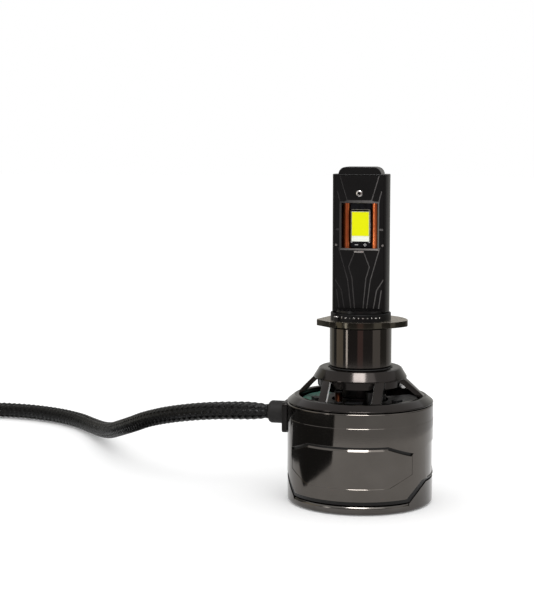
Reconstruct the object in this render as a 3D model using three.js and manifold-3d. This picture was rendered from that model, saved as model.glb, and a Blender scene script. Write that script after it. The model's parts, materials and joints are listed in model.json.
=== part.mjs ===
// LED headlight bulb: a slim two-sided lamp post with a turning mounting collar, on a fan-cooled round body.
// Millimetres, +Z up. The origin is the middle of the flat end face that the bulb stands on.
// The front light faces -Y and the cable leaves towards -X.

import * as THREE from "three";
import { mergeVertices } from "three/addons/utils/BufferGeometryUtils.js";
import Module from "manifold-3d";

const wasm = await Module();
wasm.setup();

// Round body
const bodyRadius = 18.5;
const shellWall = 1.2;
const shellBottom = 2.4;
const shellTop = 25;
const guardRim = 2.1;
const guardOpening = 16.8;
const earTop = 6.5;
const shoulderRadius = 16.3;
const shoulderTop = 27;
const hatRimRadius = 11.75;
const hatRim = 31.7;
const hatTopRadius = 10.2;
const hatTop = 34.1;

// Neck, collar and lamp post
const barrelRadius = 7.8;
const barrelBottom = 34.4;
const collarBottom = 44.5;
const collarTop = 46;
const collarRingTop = 48;
const collarTurn = 11;
const stemRadius = 6.4;
const postRadius = 7.2;
const postHalfDepth = 2.8;
const postBottom = 48.2;
const railTop = 82.6;
const capTop = 84.4;
const windowHalfWidth = 4.6;
const windowBottom = 64.1;
const windowTop = 75.4;
const faceScrewHeight = 77.8;

// Light and heat path
const chipWidth = 4.5;
const chipHeight = 7.5;
const chipMiddle = 69.5;
const phosphorHeight = 6.15;
const pipeOffset = 3.72;
const pipeHalfWidth = 1.05;
const pipeHalfDepth = 1.2;
const finTop = 24;
const finBottom = 12.8;
const finRadius = 16;
const finPitch = 2.1;
const coreRadius = 6.5;

// Fan
const hubRadius = 8;
const hubFace = 3.8;
const bladeTip = 14.2;
const bladeCount = 7;
const rotorTop = 10;
const frameRadius = 15.9;

// Cable
const cableHeight = 21.4;
const plateFront = 19.6;
const cordRadius = 2.3;
const glandRadius = 2.9;

// Joints between neighbours keep this much clearance.
const fit = 0.2;

const finish = {
  blackGloss: new THREE.MeshStandardMaterial({ color: 0x1b1a1b, roughness: 0.25, metalness: 0.4 }),
  gunmetal: new THREE.MeshStandardMaterial({ color: 0x5c5a55, roughness: 0.3, metalness: 0.9 }),
  blackChrome: new THREE.MeshStandardMaterial({ color: 0x2c2a28, roughness: 0.12, metalness: 1 }),
  collarMetal: new THREE.MeshStandardMaterial({ color: 0x3c3932, roughness: 0.35, metalness: 0.8 }),
  copper: new THREE.MeshStandardMaterial({ color: 0x9a4a26, roughness: 0.3, metalness: 1 }),
  enamelledWire: new THREE.MeshStandardMaterial({ color: 0xa4562a, roughness: 0.4, metalness: 0.8 }),
  aluminium: new THREE.MeshStandardMaterial({ color: 0x8d8f90, roughness: 0.4, metalness: 1 }),
  steel: new THREE.MeshStandardMaterial({ color: 0xb8b8b6, roughness: 0.3, metalness: 1 }),
  brass: new THREE.MeshStandardMaterial({ color: 0xb08d4a, roughness: 0.35, metalness: 1 }),
  blackPlastic: new THREE.MeshStandardMaterial({ color: 0x19191a, roughness: 0.5, metalness: 0 }),
  rubber: new THREE.MeshStandardMaterial({ color: 0x2d2a2b, roughness: 0.75, metalness: 0 }),
  ferrite: new THREE.MeshStandardMaterial({ color: 0x3a3838, roughness: 0.7, metalness: 0.1 }),
  boardBlack: new THREE.MeshStandardMaterial({ color: 0x17181c, roughness: 0.45, metalness: 0 }),
  boardGreen: new THREE.MeshStandardMaterial({ color: 0x3f7d63, roughness: 0.45, metalness: 0 }),
  ceramic: new THREE.MeshStandardMaterial({ color: 0xe8e6dc, roughness: 0.5, metalness: 0 }),
  phosphor: new THREE.MeshStandardMaterial({ color: 0xebef17, roughness: 0.6, metalness: 0 }),
  redWire: new THREE.MeshStandardMaterial({ color: 0xa02020, roughness: 0.5, metalness: 0 }),
  blackWire: new THREE.MeshStandardMaterial({ color: 0x141414, roughness: 0.5, metalness: 0 }),
  braid: new THREE.MeshStandardMaterial({ color: 0x1a1a1b, roughness: 0.6, metalness: 0 }),
};

const radians = THREE.MathUtils.degToRad;

// A closed geometry as a solid that can be joined and cut.
function solid(geometry) {
  const bare = geometry.clone();
  bare.deleteAttribute("normal");
  bare.deleteAttribute("uv");
  const merged = mergeVertices(bare, 1e-4);
  const mesh = new wasm.Mesh({
    numProp: 3,
    vertProperties: merged.attributes.position.array,
    triVerts: new Uint32Array(merged.index.array),
  });
  return new wasm.Manifold(mesh);
}

function geometryOf(body) {
  const { vertProperties, triVerts } = body.getMesh();
  const geometry = new THREE.BufferGeometry();
  geometry.setAttribute("position", new THREE.BufferAttribute(vertProperties, 3));
  geometry.setIndex(new THREE.BufferAttribute(triVerts, 1));
  geometry.computeVertexNormals();
  return geometry;
}

const join = (...bodies) => bodies.reduce((all, next) => all.add(next));
const cut = (body, ...tools) => tools.reduce((left, tool) => left.subtract(tool), body);

// A closed profile of [radius, height] pairs, listed anticlockwise, turned about the Z axis.
function turned(profile, segments = 40) {
  const points = [...profile, profile[0]].map(([radius, height]) => new THREE.Vector2(radius, height));
  return solid(new THREE.LatheGeometry(points, segments).rotateX(Math.PI / 2));
}

const tube = (inner, outer, bottom, top, segments) =>
  turned([[inner, bottom], [outer, bottom], [outer, top], [inner, top]], segments);

const rod = (radius, bottom, top, segments = 24) =>
  solid(
    new THREE.CylinderGeometry(radius, radius, top - bottom, segments)
      .rotateX(Math.PI / 2)
      .translate(0, 0, (top + bottom) / 2),
  );

function block(left, right, front, back, bottom, top) {
  const box = new THREE.BoxGeometry(right - left, back - front, top - bottom);
  return solid(box.translate((left + right) / 2, (front + back) / 2, (bottom + top) / 2));
}

const outline = (points) => new THREE.Shape(points.map(([x, y]) => new THREE.Vector2(x, y)));

// A flat outline in X and Y, raised between two heights.
const raised = (shape, bottom, top, curveSegments = 24) =>
  solid(
    new THREE.ExtrudeGeometry(shape, { depth: top - bottom, bevelEnabled: false, curveSegments })
      .translate(0, 0, bottom),
  );

// An outline in X and Z, carried along Y from front to back.
const throughY = (points, front, back) =>
  solid(
    new THREE.ExtrudeGeometry(outline(points), { depth: back - front, bevelEnabled: false })
      .rotateX(Math.PI / 2)
      .translate(0, back, 0),
  );

const rodAlongY = (radius, height, front, back, segments = 20) =>
  solid(
    new THREE.CylinderGeometry(radius, radius, back - front, segments)
      .translate(0, (front + back) / 2, height),
  );

// The same outline points on both sides of the middle plane.
const bothSides = (points) => [...points, ...points.map(([x, z]) => [-x, z]).reverse()];

const headlightBulb = new THREE.Group();
headlightBulb.name = "headlight_bulb";

function place(name, body, material, parent = headlightBulb) {
  const mesh = new THREE.Mesh(geometryOf(body), material);
  mesh.name = name;
  parent.add(mesh);
  return mesh;
}

// Everything on the lamp post's light side exists twice, turned half a turn about the axis.
function frontAndRear(name, body, material) {
  place(name + "_front", body, material);
  place(name + "_rear", body, material).rotation.z = Math.PI;
}

// End guard: a rim with a bar across it, two raised ears and a tongue behind each ear.
function endGuard() {
  const barEdge = [[-17, -3.3], [-15, -1.9], [15, -1.9], [17, -3.3]];
  const barOutline = [...barEdge, ...barEdge.map(([x, y]) => [-x, -y])];
  const rim = turned([
    [guardOpening, 0.3], [17.1, 0], [18, 0], [18.4, 0.4], [18.4, guardRim], [guardOpening, guardRim],
  ]);
  const betweenEars = bothSides([[17.8, 7], [17.7, earTop], [14.6, guardRim]]);
  const ears = cut(tube(17.4, 18.4, 1, earTop), throughY(betweenEars, -20, 20));
  const tongues = tube(16.2, 17, 1, 8).intersect(block(-20, 20, -3.2, 3.2, 1, 8));
  const tongueRoots = tube(16.2, 18, 1, 3).intersect(block(-20, 20, -3.2, 3.2, 1, 3));
  const grooves = [-0.95, 0.95].map((y) => block(-15.2, 15.2, y - 0.35, y + 0.35, -0.5, 0.5));
  const whole = join(rim, ears, tongues, tongueRoots, raised(outline(barOutline), 0, 2.2));
  return cut(whole, ...grooves);
}

// Shell: a tube with a sunk band round its top, a sunk panel front and rear, and room for the ears.
function outerShell() {
  const inside = bodyRadius - shellWall;
  const sunk = bodyRadius - 0.25;
  const bandEdge = 21.4;
  const walls = turned([
    [inside, shellBottom], [bodyRadius, shellBottom], [bodyRadius, bandEdge], [sunk, bandEdge],
    [sunk, shellTop], [inside, shellTop],
  ], 56);
  const panelOutline = bothSides([[10.3, 6.6], [15.2, 9.3], [15.2, 14.5], [10.1, 16.7]]);
  const panels = tube(sunk, bodyRadius + 1, 6, 17, 56).intersect(throughY(panelOutline, -20, 20));
  const earRoom = [[14.2, 1.8], [17.55, 6.8], [19.5, 6.8], [19.5, 1.8]];
  const earRooms = [earRoom, earRoom.map(([x, z]) => [-x, z]).reverse()].map((points) =>
    throughY(points, -20, 20),
  );
  const cableHole = solid(
    new THREE.CylinderGeometry(2.2, 2.2, 4, 24).rotateZ(Math.PI / 2).translate(-17.8, 0, cableHeight),
  );
  return cut(walls, panels, ...earRooms, cableHole);
}

// Vent cover: a sloped shoulder, three pairs of parallel ribs and a low hat with a well for the seal.
function ventCone() {
  const shoulder = turned([
    [15.3, 24.2], [17.1, 24.2], [17.1, 25.2], [bodyRadius, 25.2], [shoulderRadius, shoulderTop],
    [15.3, shoulderTop],
  ]);
  const hat = turned([
    [6.6, 31.6], [9.8, 31.6], [9.8, 29.5], [10.8, 29.5], [10.8, 31.4], [hatRimRadius, 31.4],
    [hatRimRadius, hatRim], [hatTopRadius, hatTop], [8.1, hatTop], [8.1, 33.4], [6.6, 33.4],
  ]);
  const slope = turned([
    [14.9, shoulderTop - 0.1], [shoulderRadius, shoulderTop - 0.1], [hatRimRadius, 31.6], [10.3, 31.6],
  ]);
  const ribInner = 5.6;
  const ribWidth = 2.2;
  const ribBars = [0, 120, 240].flatMap((turn) =>
    [-1, 1].map((side) => {
      const middle = side * (ribInner + ribWidth / 2);
      const bar = block(middle - ribWidth / 2, middle + ribWidth / 2, -18, -5, 26, 32);
      return bar.rotate([0, 0, turn]);
    }),
  );
  return join(shoulder, hat, ...ribBars.map((bar) => slope.intersect(bar)));
}

// The two channels that the heat pipes run in.
const pipeChannels = (bottom, top) =>
  [-1, 1].map((side) => {
    const middle = side * pipeOffset;
    const reach = pipeHalfWidth + fit;
    const depth = pipeHalfDepth + fit;
    return block(middle - reach, middle + reach, -depth, depth, bottom, top);
  });

// Lamp post: a round stem that widens to a flat-faced blade with a light window on each face.
function lampPost() {
  const faceAngle = Math.asin(postHalfDepth / postRadius);
  const section = new THREE.Shape();
  section.absarc(0, 0, postRadius, -faceAngle, faceAngle, false);
  section.absarc(0, 0, postRadius, Math.PI - faceAngle, Math.PI + faceAngle, false);
  const blade = raised(section, postBottom, railTop, 10);
  const cap = throughY(bothSides([[5.4, railTop - 0.2], [5.2, 83.3], [4.2, capTop]]), -2.3, 2.3);
  const stem = rod(stemRadius, 27, postBottom + 0.5, 40);
  const light = block(-windowHalfWidth, windowHalfWidth, -4, 4, windowBottom, windowTop);
  const web = block(-2.45, 2.45, -0.4, 0.4, windowBottom - 1, windowTop + 1);
  const plateSeats = [block(-5.95, 5.95, -3, -2.05, 49, 82.3), block(-5.95, 5.95, 2.05, 3, 49, 82.3)];
  const screwHole = rodAlongY(0.7, faceScrewHeight, -4, 4);
  const bored = cut(join(blade, cap, stem), light, ...pipeChannels(26, 79), screwHole);
  return cut(join(bored, web), ...plateSeats);
}

// Face plate: the flat cover of one face of the post, with the light window and the screw hole.
function facePlate() {
  const plate = block(-5.75, 5.75, -postHalfDepth, -2.25, 49.2, 82.1);
  const opening = block(-windowHalfWidth, windowHalfWidth, -4, 0, windowBottom, windowTop);
  return cut(plate, opening, rodAlongY(0.7, faceScrewHeight, -4, 0));
}

function faceScrew() {
  const head = rodAlongY(0.83, faceScrewHeight, -3.25, -postHalfDepth - 0.02);
  return join(head, rodAlongY(0.5, faceScrewHeight, -3, -0.3));
}

// Heat pipe: a flattened copper bar that stands from the heat sink to above the lights.
function heatPipe() {
  const section = new THREE.Shape();
  const straight = pipeHalfDepth - pipeHalfWidth;
  section.absarc(0, straight, pipeHalfWidth, 0, Math.PI, false);
  section.absarc(0, -straight, pipeHalfWidth, Math.PI, 2 * Math.PI, false);
  return raised(section, 15.2, 78.6, 8);
}

// Heat sink: a round core, a cross web and parallel fins trimmed to a circle.
function heatSink() {
  const fins = [];
  const finHalf = 0.35;
  for (let x = -7 * finPitch; x < 7.5 * finPitch; x += finPitch) {
    const half = Math.sqrt(finRadius ** 2 - (Math.abs(x) + finHalf) ** 2);
    fins.push(block(x - finHalf, x + finHalf, -half, half, finBottom, finTop));
  }
  const web = block(-15.2, 15.2, -0.8, 0.8, finBottom, finTop);
  const core = rod(coreRadius, finBottom, 26.7, 40);
  const wireNotch = block(-17, -11.6, -2.2, 2.2, 20.4, 25);
  return cut(join(core, web, ...fins), wireNotch, ...pipeChannels(15, 27));
}

// Mounting collar: a flange cut away at the front with one pointed wing, and a ring above it.
function mountCollar() {
  const flange = new THREE.Shape();
  flange.moveTo(-11, -0.8);
  flange.lineTo(-7.8, -5.5);
  flange.lineTo(-6.1, -5.8);
  flange.absarc(0, 0, 8.4, Math.atan2(-5.8, -6.1), Math.atan2(-6.6, 5.2), false);
  flange.lineTo(7.6, -6.2);
  flange.lineTo(9.8, -4.4);
  flange.absarc(0, 0, 11.85, Math.atan2(-2.4, 11.6), Math.atan2(9.5, -6.9), false);
  flange.lineTo(-11, 0.8);
  const whole = join(raised(flange, collarBottom, collarTop), rod(7.6, collarTop - 0.2, collarRingTop, 40));
  return cut(whole, rod(stemRadius + fit, 44, 49, 40), rod(0.95, 44, 49).translate([-6, -4.9, 0]));
}

function collarScrew() {
  const head = rod(0.75, collarTop - 1.2, 47.5, 16);
  return head.translate([-6, -4.9, 0]);
}

// Fan frame: a duct ring, three struts, a motor plate and a bearing tube.
function fanFrame() {
  const struts = [30, 150, 270].map((turn) => block(5.5, 15.4, -0.8, 0.8, 10.7, 11.7).rotate([0, 0, turn]));
  const duct = tube(15, frameRadius, shellBottom, 11.7);
  return join(duct, rod(6.3, 10.7, 11.7, 32), tube(1.8, 2.4, 5.6, 10.9, 24), ...struts);
}

// Fan rotor: a cup that is closed below, with pitched blades round it.
function fanRotor() {
  const cup = turned([
    [0, hubFace], [7.5, hubFace], [hubRadius, hubFace + 0.5], [hubRadius, rotorTop], [7.2, rotorTop],
    [7.2, hubFace + 1], [0, hubFace + 1],
  ], 40);
  const bladeSection = [[-2.9, 4.4], [-2.3, 4.1], [2.7, 9.5], [2.1, 9.8]];
  const blades = [];
  for (let count = 0; count < bladeCount; count++) {
    const blade = throughY(bladeSection, 7.4, bladeTip);
    blades.push(blade.rotate([0, 0, (count * 360) / bladeCount]));
  }
  return join(cup, ...blades);
}

const poleTurns = [0, 90, 180, 270];

function fanStator() {
  const poles = poleTurns.map((turn) => block(3, 5.6, -0.7, 0.7, 6.3, 8.6).rotate([0, 0, turn]));
  const shoes = tube(5.3, 6, 6.3, 8.6, 40);
  const slots = [45, 135, 225, 315].map((turn) => block(4, 7, -0.8, 0.8, 6, 9).rotate([0, 0, turn]));
  return join(tube(2.6, 3.4, 6.3, 8.6, 24), ...poles, cut(shoes, ...slots));
}

const statorCoil = (turn) =>
  cut(block(3.75, 5, -1.35, 1.35, 5.7, 9.2), block(3, 6, -0.9, 0.9, 6.1, 8.8)).rotate([0, 0, turn]);

// Driver board: a ring that stays open at the rear so that air can pass.
function driverBoard() {
  const board = new THREE.Shape();
  board.absarc(0, 0, 14.6, radians(-220), radians(40), false);
  board.absarc(0, 0, 7.2, radians(40), radians(-220), true);
  return raised(board, 24.8, 25.8);
}

// A part on the driver board, at a turn from the front and a distance from the axis.
function onBoard(body, turn, radius) {
  return body.translate([0, -radius, 0]).rotate([0, 0, turn]);
}

// A closed profile of [radius, distance] pairs turned about the cable's own line, out towards -X.
const alongX = (profile, segments) => {
  const body = turned(profile, segments).rotate([0, -90, 0]);
  return body.translate([0, 0, cableHeight]);
};

// Gland plate: a small block that fits the round of the shell.
function glandPlate() {
  const plate = block(-plateFront, -17.6, -3.9, 3.9, 16.7, 24.5);
  return cut(plate, rod(bodyRadius + 0.15, 16, 26, 72), alongX([[0, 17], [1.7, 17], [1.7, 22], [0, 22]], 24));
}

const cableGland = () =>
  alongX([[0, plateFront + fit], [glandRadius, plateFront + fit], [glandRadius, 23], [2.5, 23.8], [0, 23.8]], 24);

// A round bar along a smooth path.
function alongPath(points, radius, sides, steps) {
  const path = new THREE.CatmullRomCurve3(points.map((point) => new THREE.Vector3(...point)), false, "centripetal");
  const section = new THREE.Shape();
  for (let side = 0; side < sides; side++) {
    const angle = (2 * Math.PI * side) / sides;
    const [x, y] = [radius * Math.cos(angle), radius * Math.sin(angle)];
    if (side === 0) section.moveTo(x, y);
    else section.lineTo(x, y);
  }
  return solid(new THREE.ExtrudeGeometry(section, { extrudePath: path, steps, bevelEnabled: false }));
}

// The lead's route: out of the gland, down to the ground and round in a half loop to its plug.
const cordRoute = [
  [-24.1, 0, 21.4], [-32.6, 0.1, 21.2], [-42.1, 1.5, 20.3], [-52, 5.7, 18.3], [-61, 12.6, 15.4],
  [-68.8, 21.3, 11.9], [-75.8, 31.1, 8.7], [-82.3, 41, 5.8], [-88.9, 51, 3.8], [-95.9, 60.8, 2.7],
  [-104.3, 69.9, 2.4], [-114.7, 76.5, 2.4], [-126.7, 80.3, 2.4], [-138.9, 80.5, 2.4],
  [-150.5, 77.2, 2.4], [-160.2, 69.7, 2.4], [-165.4, 59.5, 2.4], [-165.3, 48.4, 2.7],
  [-161.2, 38, 3.5], [-156.4, 28.8, 4],
];
const plugPlace = [-156.2, 28.4, 4];
const plugTurn = -62.4;

// Plug parts point along X from the end of the lead.
const plugBoot = () =>
  turned([[0, 0], [2.6, 0], [3.4, 6.5], [0, 6.5]], 20).rotate([0, 90, 0]);

const plugHousing = () =>
  join(block(6.8, 20, -5.4, 5.4, -3.9, 3.5), block(9, 18, -6, 6, -1.4, 1.4), block(9, 17, -1.8, 1.8, 3, 4.3));

const plugBlade = (side) => block(20.2, 27, side - 1.4, side + 1.4, -0.4, 0.4);

// Outer casing
place("outer_shell", outerShell(), finish.gunmetal);
place("vent_cone", ventCone(), finish.blackGloss);
place("end_guard", endGuard(), finish.gunmetal);
place("gland_plate", glandPlate(), finish.gunmetal);
place("cable_gland", cableGland(), finish.rubber);

// Neck and lamp post
place("seal_ring", tube(6.8, 7.75, 33.55, 34.25, 40), finish.rubber);
place("neck_barrel", tube(6.7, barrelRadius, barrelBottom, 44.3), finish.blackChrome);
place("lamp_post", lampPost(), finish.blackGloss);
frontAndRear("face_plate", facePlate(), finish.blackGloss);
frontAndRear("face_screw", faceScrew(), finish.steel);
place("heat_pipe_left", heatPipe(), finish.copper).position.x = -pipeOffset;
place("heat_pipe_right", heatPipe(), finish.copper).position.x = pipeOffset;

// The lights
const halfChip = chipWidth / 2;
const chipBottom = chipMiddle - chipHeight / 2;
const chipTop = chipMiddle + chipHeight / 2;
const bracket = [
  [2.4, 65.9], [2.7, 65.9], [2.7, 74.1], [-2.3, 74.1], [-2.3, 73.8], [2.4, 73.8],
];
frontAndRear("led_board", block(-2.5, 2.5, -0.9, -0.55, 64.3, 75.2), finish.boardBlack);
frontAndRear("led_chip", block(-halfChip, halfChip, -1.25, -0.95, chipBottom, chipTop), finish.ceramic);
frontAndRear(
  "phosphor",
  block(-halfChip + 0.1, halfChip - 0.1, -1.42, -1.27, chipTop - phosphorHeight, chipTop - 0.1),
  finish.phosphor,
);
frontAndRear("chip_bracket", throughY(bracket, -1.35, -0.95), finish.steel);

// Heat sink and driver
place("heat_sink", heatSink(), finish.aluminium);
place("driver_board", driverBoard(), finish.boardGreen);
const partSeat = 25.85;
place("driver_inductor", onBoard(rod(1.1, partSeat, 29, 20), -26, 8.9), finish.enamelledWire);
place("driver_capacitor", onBoard(rod(1.5, partSeat, 29.1, 20), 30, 8.9), finish.aluminium);
place("driver_chip", onBoard(block(-2.2, 2.2, -1.8, 1.8, partSeat, 26.8), 4, 12.3), finish.blackPlastic);
place("driver_transistor", onBoard(block(-1.6, 1.6, -1.4, 1.4, partSeat, 26.8), -58, 11.6), finish.blackPlastic);
place("driver_diode", onBoard(block(-1.3, 1.3, -0.9, 0.9, partSeat, 26.8), 62, 11.8), finish.blackPlastic);
const wireRoute = [[-13.2, 0, 24.1], [-13.6, 0, 22.8], [-14.9, 0, 21.7], [-17, 0, cableHeight], [-19.4, 0, cableHeight]];
for (const [sign, side, material] of [["positive", 0.75, finish.redWire], ["negative", -0.75, finish.blackWire]])
  place("power_wire_" + sign, alongPath(wireRoute, 0.5, 8, 12), material).position.y = side;

// Mounting collar
const collar = new THREE.Group();
collar.rotation.z = radians(collarTurn);
headlightBulb.add(collar);
place("mount_collar", mountCollar(), finish.collarMetal, collar);
place("collar_screw", collarScrew(), finish.steel, collar);

// Fan
place("fan_frame", fanFrame(), finish.blackPlastic);
place("fan_bearing", tube(0.85, 1.7, 5.7, 10.4, 20), finish.brass);
place("fan_stator", fanStator(), finish.ferrite);
poleTurns.forEach((turn, count) => place("stator_coil_" + (count + 1), statorCoil(turn), finish.enamelledWire));
place("fan_board", tube(2.6, 6.1, 9.7, 10.3, 32), finish.boardGreen);
place("fan_rotor", fanRotor(), finish.blackPlastic);
place("rotor_magnet", tube(6.3, 7.1, 5.1, 9.8, 40), finish.ferrite);
place("rotor_shaft", rod(0.75, 4.9, 10.3, 16), finish.steel);

// Lead and plug
place("cord_run", alongPath(cordRoute, cordRadius, 10, 44), finish.braid);
const plug = new THREE.Group();
plug.position.set(...plugPlace);
plug.rotation.z = radians(plugTurn);
headlightBulb.add(plug);
place("plug_boot", plugBoot(), finish.rubber, plug);
place("plug_housing", plugHousing(), finish.blackPlastic, plug);
place("plug_blade_1", plugBlade(-2.6), finish.brass, plug);
place("plug_blade_2", plugBlade(2.6), finish.brass, plug);

export default headlightBulb;
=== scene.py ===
import json
import math

import bmesh
import bpy
from mathutils import Matrix, Vector

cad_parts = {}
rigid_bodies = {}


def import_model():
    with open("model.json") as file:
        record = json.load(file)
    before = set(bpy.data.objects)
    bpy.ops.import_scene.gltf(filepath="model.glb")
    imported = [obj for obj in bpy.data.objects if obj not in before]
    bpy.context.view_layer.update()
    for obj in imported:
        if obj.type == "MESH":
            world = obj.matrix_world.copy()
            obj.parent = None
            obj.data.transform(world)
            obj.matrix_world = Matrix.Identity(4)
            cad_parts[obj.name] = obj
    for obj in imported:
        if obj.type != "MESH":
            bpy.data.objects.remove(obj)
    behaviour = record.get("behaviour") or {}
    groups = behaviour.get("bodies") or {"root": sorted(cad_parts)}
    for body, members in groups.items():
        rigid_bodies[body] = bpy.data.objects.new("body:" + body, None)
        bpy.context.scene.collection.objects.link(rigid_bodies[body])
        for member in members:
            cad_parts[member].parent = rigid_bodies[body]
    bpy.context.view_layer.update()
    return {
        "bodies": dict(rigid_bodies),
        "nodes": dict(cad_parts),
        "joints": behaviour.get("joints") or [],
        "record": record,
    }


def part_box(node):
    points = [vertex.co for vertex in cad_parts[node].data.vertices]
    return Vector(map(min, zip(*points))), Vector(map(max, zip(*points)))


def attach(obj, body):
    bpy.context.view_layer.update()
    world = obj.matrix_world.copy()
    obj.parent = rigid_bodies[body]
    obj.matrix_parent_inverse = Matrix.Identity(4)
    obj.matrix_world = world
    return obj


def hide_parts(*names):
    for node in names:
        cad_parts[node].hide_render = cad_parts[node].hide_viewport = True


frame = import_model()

# LED headlight bulb: a two-sided lamp post on a turning collar, over a round fan-cooled body
# with a braided lead.
# Pieces are shaped in millimetres and set into the scene in metres.

scene = bpy.context.scene
millimetre = 0.001


def cadSize(node):  # lowest and highest corner of a CAD node, in millimetres
    low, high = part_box(node)
    return low / millimetre, high / millimetre


# The camera looks from slightly above and to the right of the bulb's front.
viewpoint = {"turn": 11.0, "distance": 380.0, "height": 91.95, "pitch": 6.176, "pan": 3.568, "lens": 90.82}


def makeCamera(v):
    data = bpy.data.cameras.new("studioCamera")
    data.lens = v["lens"]
    data.clip_start = 0.01
    camera = bpy.data.objects.new("studioCamera", data)
    turn = math.radians(v["turn"])
    reach = v["distance"] * millimetre
    camera.location = (reach * math.sin(turn), -reach * math.cos(turn), v["height"] * millimetre)
    camera.rotation_euler = (math.radians(90 - v["pitch"]), 0, math.radians(v["turn"] + v["pan"]))
    scene.collection.objects.link(camera)
    scene.camera = camera


makeCamera(viewpoint)
print("camera ready")


class Wave:  # a socket that can be used in sums
    def __init__(self, finish, socket):
        self.finish = finish
        self.socket = socket

    def math(self, operation, first, second):
        return self.finish.node("ShaderNodeMath", {"operation": operation}, {0: first, 1: second})

    def __add__(self, other):
        return self.math("ADD", self, other)

    def __sub__(self, other):
        return self.math("SUBTRACT", self, other)

    def __rsub__(self, other):
        return self.math("SUBTRACT", other, self)

    def __mul__(self, other):
        return self.math("MULTIPLY", self, other)

    def __gt__(self, other):
        return self.math("GREATER_THAN", self, other)

    __radd__ = __add__
    __rmul__ = __mul__

    def clamp(self):
        return self.finish.node("ShaderNodeClamp", {}, {"Value": self})


class Finish:  # one material and its nodes
    def __init__(self, name, **fixed):
        self.material = bpy.data.materials.new(name)
        self.material.use_nodes = True
        self.nodes = self.material.node_tree.nodes
        self.links = self.material.node_tree.links
        self.shader = next(n for n in self.nodes if n.type == "BSDF_PRINCIPLED")
        for socket, value in fixed.items():
            self.shader.inputs[socket.replace("_", " ")].default_value = value

    def node(self, kind, settings, sockets, output=0):
        made = self.nodes.new(kind)
        for key, value in settings.items():
            setattr(made, key, value)
        for key, value in sockets.items():
            if isinstance(value, Wave):
                self.links.new(value.socket, made.inputs[key])
            else:
                made.inputs[key].default_value = value
        return Wave(self, made.outputs[output])

    def feed(self, socket, wave):
        self.links.new(wave.socket, self.shader.inputs[socket])

    def place(self):
        return self.node("ShaderNodeTexCoord", {}, {}, "Object")

    def noise(self, scale, detail=3.0, stretch=(1, 1, 1), roughness=0.5):
        spot = self.node("ShaderNodeMapping", {}, {"Vector": self.place(), "Scale": stretch})
        return self.node("ShaderNodeTexNoise", {}, {
            "Vector": spot, "Scale": scale, "Detail": detail, "Roughness": roughness})

    def mixColour(self, factor, first, second):
        return self.node("ShaderNodeMix", {"data_type": "RGBA"}, {
            "Factor": factor, 6: first, 7: second}, 2)

    def bump(self, height, distance, strength=1.0):
        self.feed("Normal", self.node("ShaderNodeBump", {}, {
            "Height": height, "Distance": distance, "Strength": strength}))


def colour(red, green, blue):  # display values 0 to 255 to the renderer's linear values
    def linear(value):
        share = value / 255
        return share / 12.92 if share <= 0.04045 else ((share + 0.055) / 1.055) ** 2.4
    return (linear(red), linear(green), linear(blue), 1)


# Finishes: each function makes one kind of surface.
def lacquer(name, base, dirt, metallic, roughness, shine=0.5):  # smooth metal, faintly cloudy
    f = Finish(name, Metallic=metallic, Specular_IOR_Level=shine)
    cloud = f.noise(140, 4)
    grain = f.noise(5200, 2)
    f.feed("Base Color", f.mixColour((cloud * 1.6 - 0.3).clamp(), base, dirt))
    f.feed("Roughness", cloud * 0.08 + grain * 0.05 + (roughness - 0.06))
    f.bump(grain, 0.000004, 0.35)
    return f.material


# Moulded plastic or rubber with a fine grain.
def moulded(name, base, worn, roughness, grainScale=3800, grainDepth=0.00003, shine=0.18):
    f = Finish(name, Specular_IOR_Level=shine)
    grain = f.noise(grainScale, 3)
    patch = f.noise(120, 3)
    f.feed("Base Color", f.mixColour((patch * 1.5 - 0.25).clamp(), base, worn))
    f.feed("Roughness", patch * 0.14 + (roughness - 0.07))
    f.bump(grain, grainDepth, 0.5)
    return f.material


def drawnMetal(name, base, stain, roughness, along=(1, 1, 0.04), scale=4200):  # with drawing marks
    f = Finish(name, Metallic=1.0)
    marks = f.noise(scale, 3, along)
    patch = f.noise(220, 4)
    f.feed("Base Color", f.mixColour((patch * 1.8 - 0.4).clamp(), base, stain))
    f.feed("Roughness", marks * 0.16 + patch * 0.08 + (roughness - 0.12))
    f.bump(marks, 0.000012, 0.4)
    return f.material


def lineHighlight():  # painted highlight for the sunk cuts of the face plates: pale, and brighter towards +X, where the light falls from the right
    f = Finish("postLinePaintedHighlight", Metallic=0.2, Specular_IOR_Level=0.2)
    axes = f.node("ShaderNodeSeparateXYZ", {}, {"Vector": f.place()})
    patch = f.noise(900, 3)
    # brighter towards +X: painted light from the right
    litSide = (axes * 110 + patch * 0.5 + 0.2).clamp()
    f.feed("Base Color", f.mixColour(litSide, colour(54, 52, 52), colour(104, 101, 100)))
    f.feed("Roughness", patch * 0.2 + 0.3)
    return f.material


def phosphorLayer():  # bright yellow silicone with fine powder grain; it also glows faintly, a painted light that keeps it bright though it is not lit
    f = Finish("phosphorYellow", Roughness=0.6, Specular_IOR_Level=0.05, Emission_Strength=0.05)
    grain = f.noise(9000, 2)
    cloud = f.noise(700, 3)
    yellow = f.mixColour((cloud * 1.4 - 0.2).clamp(), colour(220, 224, 2), colour(228, 230, 10))
    speckled = f.mixColour((grain * 0.5 - 0.1).clamp(), yellow, colour(206, 212, 8))
    f.feed("Base Color", speckled)
    # the yellow also drives a faint glow: painted light
    f.feed("Emission Color", speckled)
    f.bump(grain, 0.00001, 0.4)
    return f.material


def windingWire():  # enamelled copper laid in fine turns
    f = Finish("windingWire", Metallic=0.9)
    turns = f.node("ShaderNodeTexWave", {"wave_type": "BANDS", "bands_direction": "Z"}, {
        "Vector": f.place(), "Scale": 1300.0, "Distortion": 0.4, "Detail": 1.0})
    f.feed("Base Color", f.mixColour(turns, colour(34, 16, 9), colour(98, 54, 32)))
    f.feed("Roughness", turns * -0.15 + 0.45)
    f.bump(turns, 0.00006, 0.8)
    return f.material


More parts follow.
